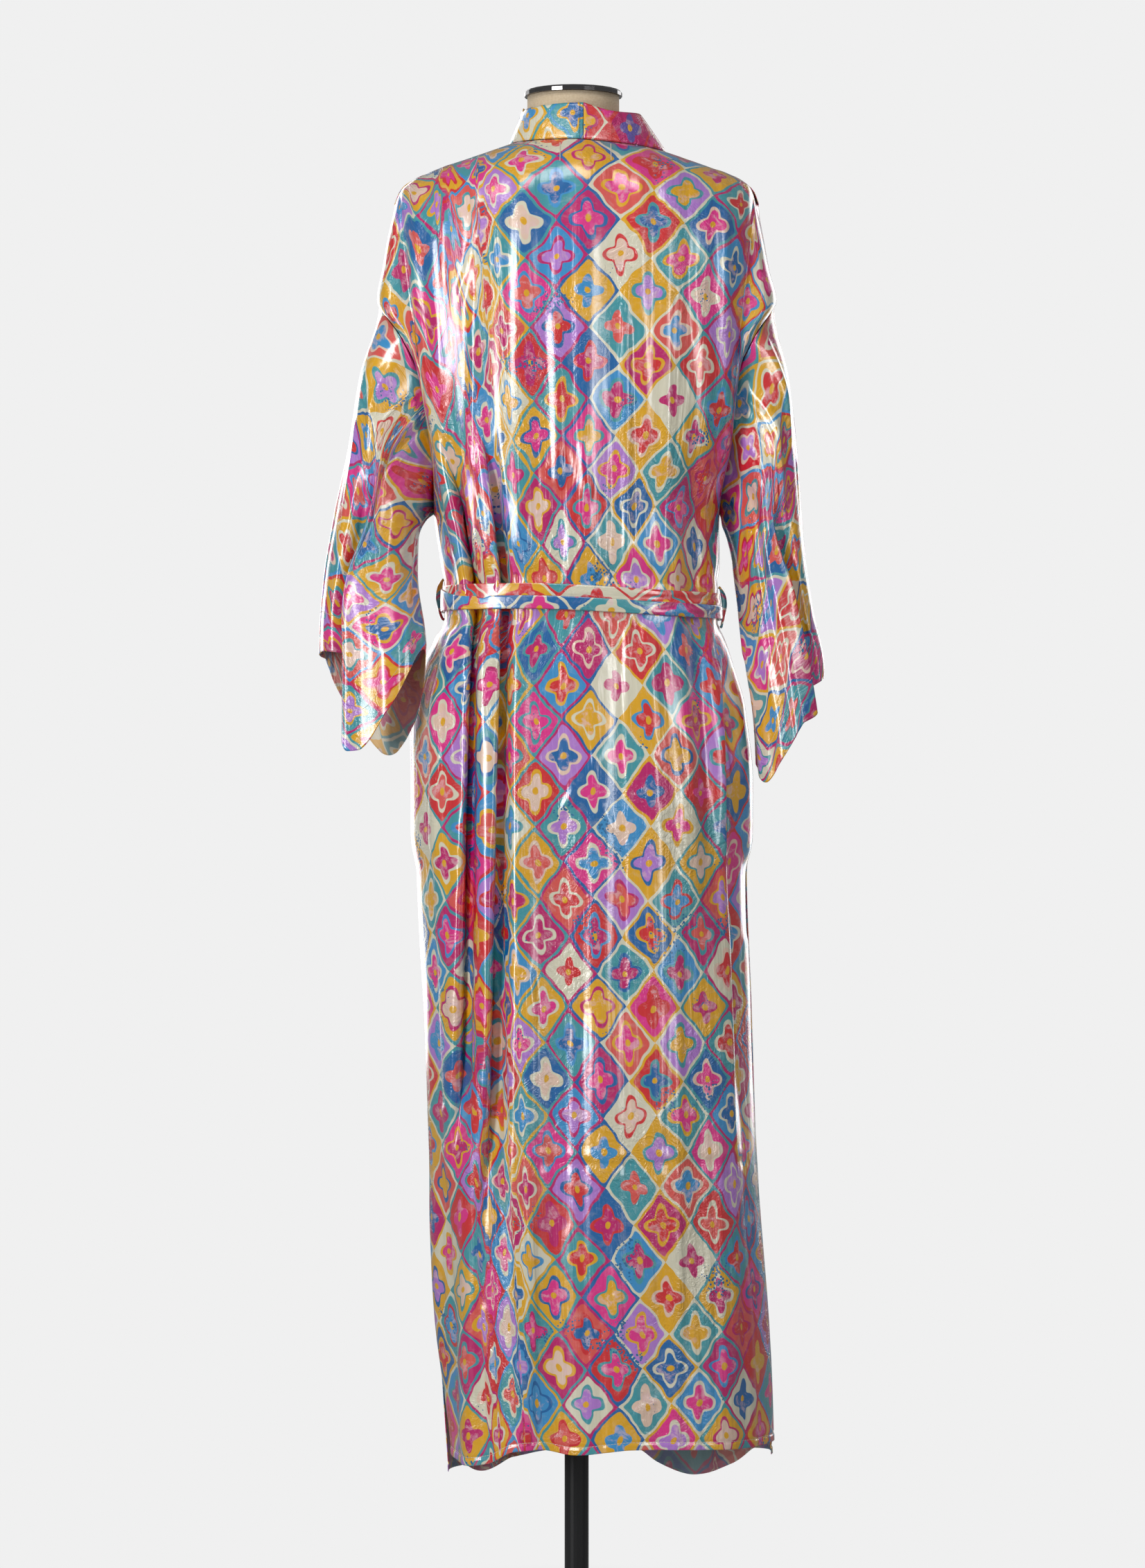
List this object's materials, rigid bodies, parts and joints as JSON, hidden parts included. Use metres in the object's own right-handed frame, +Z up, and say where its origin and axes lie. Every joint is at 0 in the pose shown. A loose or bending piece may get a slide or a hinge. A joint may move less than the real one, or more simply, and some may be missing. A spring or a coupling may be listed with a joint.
{
  "type": "long kimono robe on a dress form",
  "caption": "Full-length kimono robe of printed satin with wide sleeves, band collar and tied belt, worn by a limbless dress form on a pole and round base.",
  "frame": {"origin": "centre of the base's underside, on the pole's axis", "axes": "+Z up along the pole, -Y towards the back of the robe, +X towards the wearer's right"},
  "size_m": [0.5205, 0.33, 1.604],
  "materials": {
    "satin": "glossy printed satin",
    "satin_band": "glossy printed satin, doubled",
    "satin_belt": "glossy printed satin, folded",
    "thread": "matte twisted thread",
    "linen": "matte woven linen",
    "chrome": "polished",
    "black_steel": "satin black powder coat"
  },
  "bodies": {
    "root": {"back": "satin", "front_left": "satin", "front_right": "satin", "sleeve_left": "satin", "sleeve_right": "satin", "pocket_left": "satin", "pocket_right": "satin", "collar_left": "satin_band", "collar_right": "satin_band", "belt": "satin_belt", "belt_knot": "satin_belt", "belt_tail_left": "satin_belt", "belt_tail_right": "satin_belt", "belt_loop_left": "satin_belt", "belt_loop_right": "satin_belt", "form_torso": "linen", "form_cap": "chrome", "form_pole": "black_steel", "form_collar": "black_steel", "form_socket": "black_steel", "form_base": "black_steel"}
  },
  "joints": []
}
